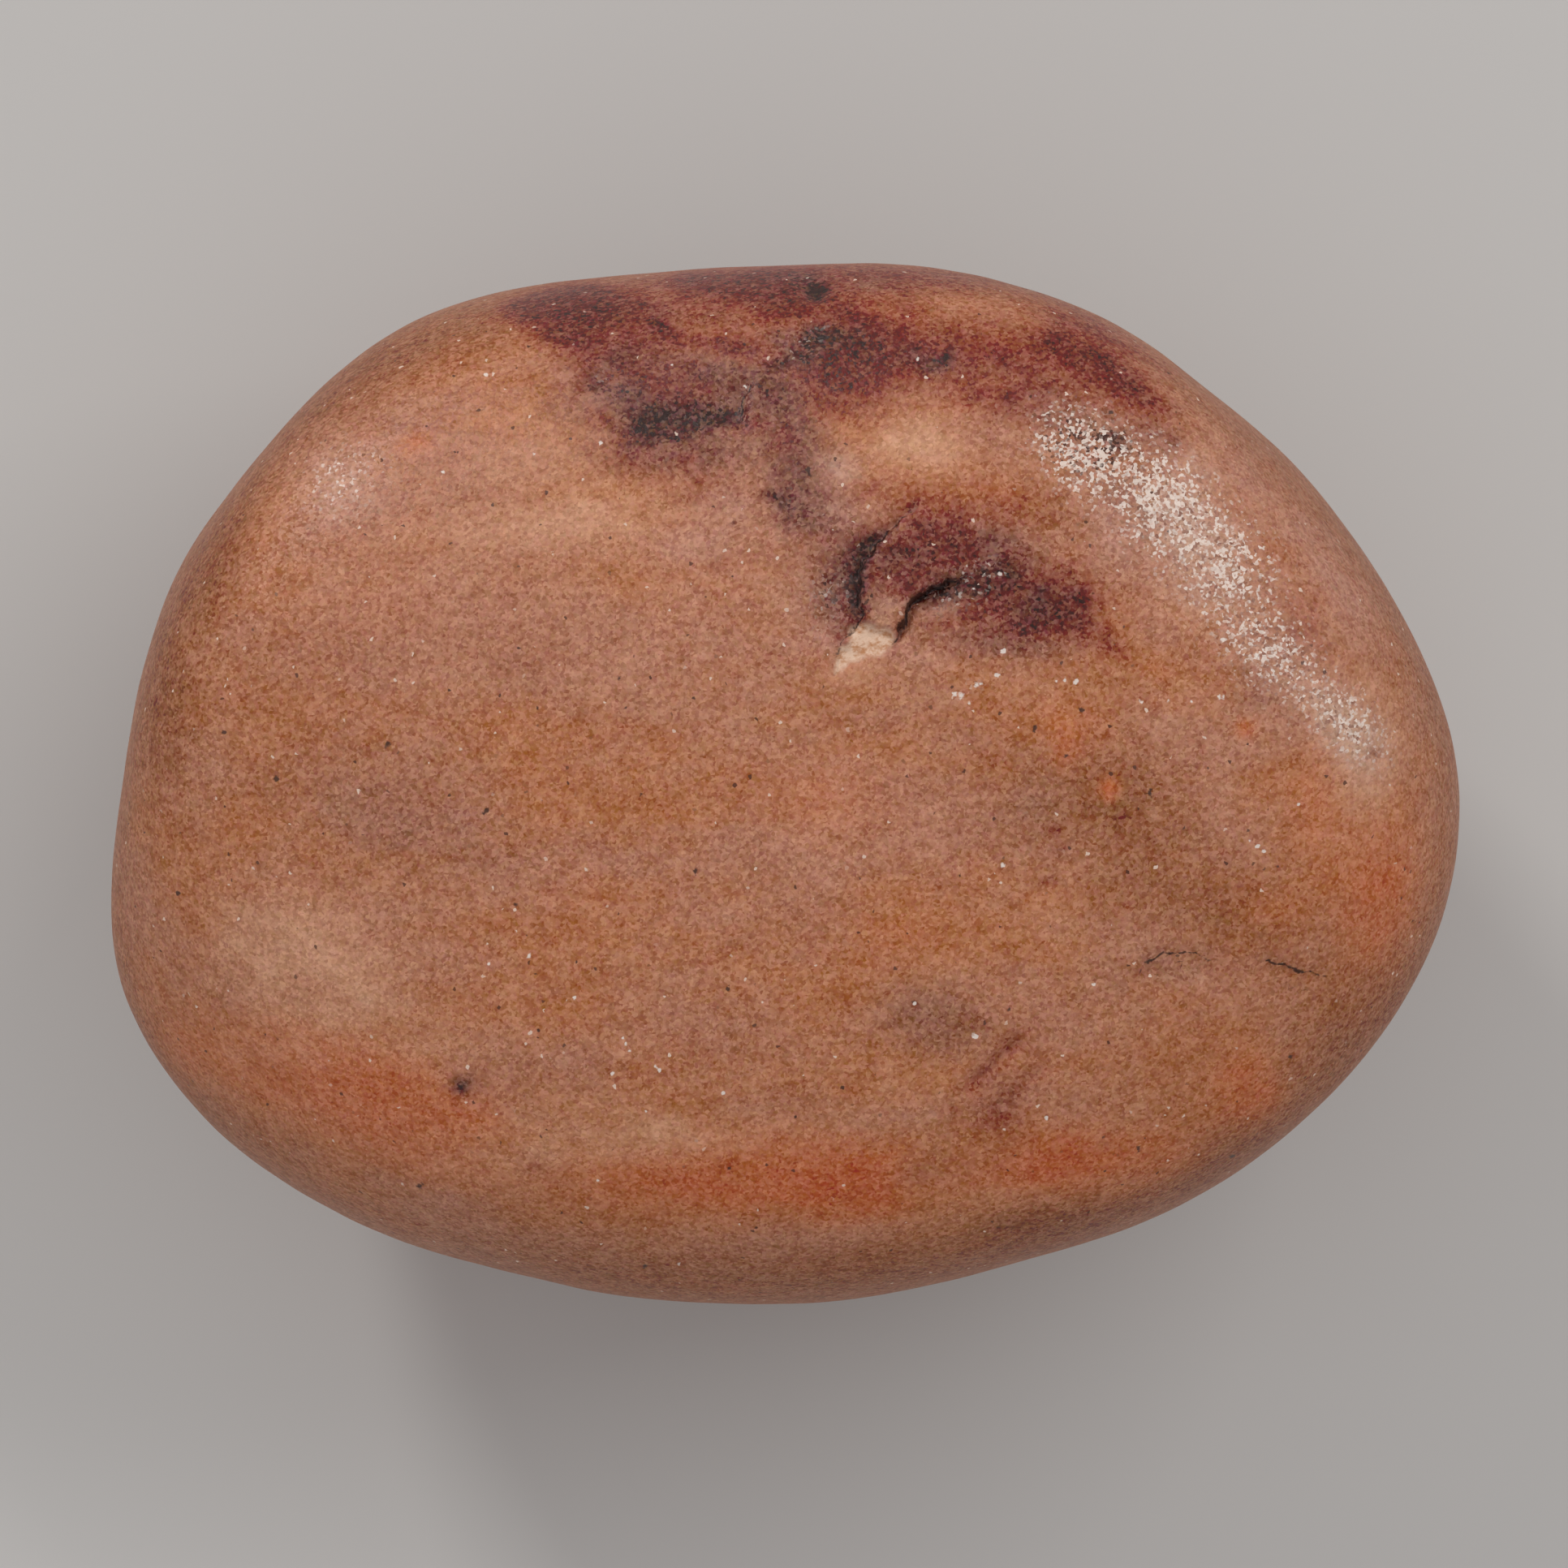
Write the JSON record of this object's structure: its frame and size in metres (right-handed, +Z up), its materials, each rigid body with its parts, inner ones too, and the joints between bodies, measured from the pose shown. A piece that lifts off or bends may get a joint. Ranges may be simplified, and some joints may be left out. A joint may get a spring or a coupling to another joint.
{
  "type": "gastrolith pebble",
  "caption": "Smooth rounded salmon-brown quartzite pebble with a broad worn face, dark stains and a small bruised scar, resting on a flat spot.",
  "frame": {"origin": "middle of the stone's length and breadth, on the surface that its flat spot rests on", "axes": "+X along the stone's length, +Y across its breadth towards the stained crown, +Z up through the broad worn face"},
  "size_m": [0.06, 0.0466, 0.034],
  "materials": {
    "quartzite": "satin"
  },
  "bodies": {
    "root": {"stone": "quartzite"}
  },
  "joints": []
}
